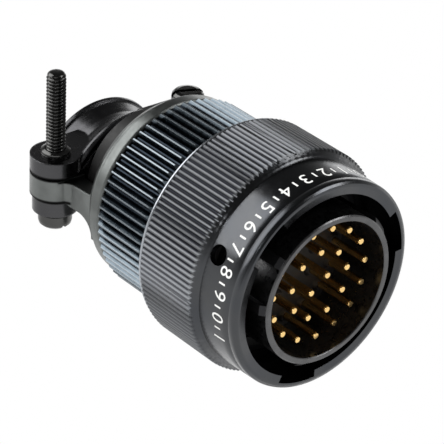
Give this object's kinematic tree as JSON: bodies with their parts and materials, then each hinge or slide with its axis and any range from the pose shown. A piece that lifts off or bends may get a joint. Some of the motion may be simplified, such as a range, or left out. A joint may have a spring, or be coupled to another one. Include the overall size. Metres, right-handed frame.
{
  "type": "bayonet circular cable plug",
  "caption": "Circular cable plug with a knurled bayonet coupling ring, keyed barrel with male pins, ridged rear nut and a two-bar saddle cable clamp.",
  "frame": {"origin": "on the connector axis at the front face of the coupling ring, with the ring at rest", "axes": "+X along the connector axis to the mating end, +Z along the clamp screws, +Y across the saddle bars"},
  "size_m": [0.0504, 0.033, 0.0342],
  "materials": {
    "ring_metal": "black-grey anodised, satin",
    "shell_metal": "black-grey anodised, satin",
    "nut_metal": "blue-grey anodised with bright crests",
    "clamp_metal": "grey anodised, satin",
    "saddle_black": "gloss black",
    "screw_black": "black oxide",
    "spring_steel": "plain",
    "contact_gold": "gold plated",
    "insert_plastic": "moulded",
    "disc_plastic": "moulded",
    "seal_rubber": "matt",
    "grommet_rubber": "matt"
  },
  "bodies": {
    "shell": {"plug_shell": "shell_metal", "interfacial_seal": "seal_rubber", "front_insert": "insert_plastic", "retention_disc": "disc_plastic", "rear_insert": "insert_plastic", "wire_grommet": "grommet_rubber", "grommet_follower": "spring_steel", "pin_contacts": "contact_gold", "mating_gasket": "seal_rubber", "ridged_nut": "nut_metal", "clamp_body": "clamp_metal", "cable_bushing": "seal_rubber", "wave_washer": "spring_steel"},
    "ring_slider": {"thrust_washer": "spring_steel"},
    "ring": {"coupling_ring": "ring_metal", "retaining_ring": "spring_steel"},
    "upper_bar": {"upper_saddle": "saddle_black", "left_boss": "screw_black", "right_lock_washer": "screw_black"},
    "lower_bar": {"lower_saddle": "saddle_black", "right_boss": "screw_black", "left_lock_washer": "screw_black"},
    "left_clamp_screw": {"left_screw": "screw_black"},
    "right_clamp_screw": {"right_screw": "screw_black"}
  },
  "joints": [
    {"name": "ring_pull", "type": "slide", "parent": "shell", "child": "ring_slider", "axis": [1, 0, 0], "range_m": [0, 0.0008], "stiffness_N_per_m": 3000, "springref_m": -0.002, "deforming": ["wave_washer"]},
    {"name": "ring_turn", "type": "hinge", "parent": "ring_slider", "child": "ring", "pos_m": [0, 0, 0], "axis": [1, 0, 0], "continuous": true},
    {"name": "upper_bar_lift", "type": "slide", "parent": "shell", "child": "upper_bar", "axis": [0, 0, 1], "range_m": [0, 0.003]},
    {"name": "lower_bar_lift", "type": "slide", "parent": "shell", "child": "lower_bar", "axis": [0, 0, -1], "range_m": [0, 0.003]},
    {"name": "left_screw_turn", "type": "hinge", "parent": "lower_bar", "child": "left_clamp_screw", "pos_m": [-0.0431, -0.01192, 0], "axis": [0, 0, -1], "continuous": true},
    {"name": "right_screw_turn", "type": "hinge", "parent": "upper_bar", "child": "right_clamp_screw", "pos_m": [-0.0431, 0.01192, 0], "axis": [0, 0, 1], "continuous": true}
  ],
  "couplings": [
    {"joint": "lower_bar_lift", "follows": "upper_bar_lift", "ratio": 1},
    {"joint": "left_screw_turn", "follows": "upper_bar_lift", "rad_per_m": 19790},
    {"joint": "right_screw_turn", "follows": "upper_bar_lift", "rad_per_m": 19790}
  ]
}
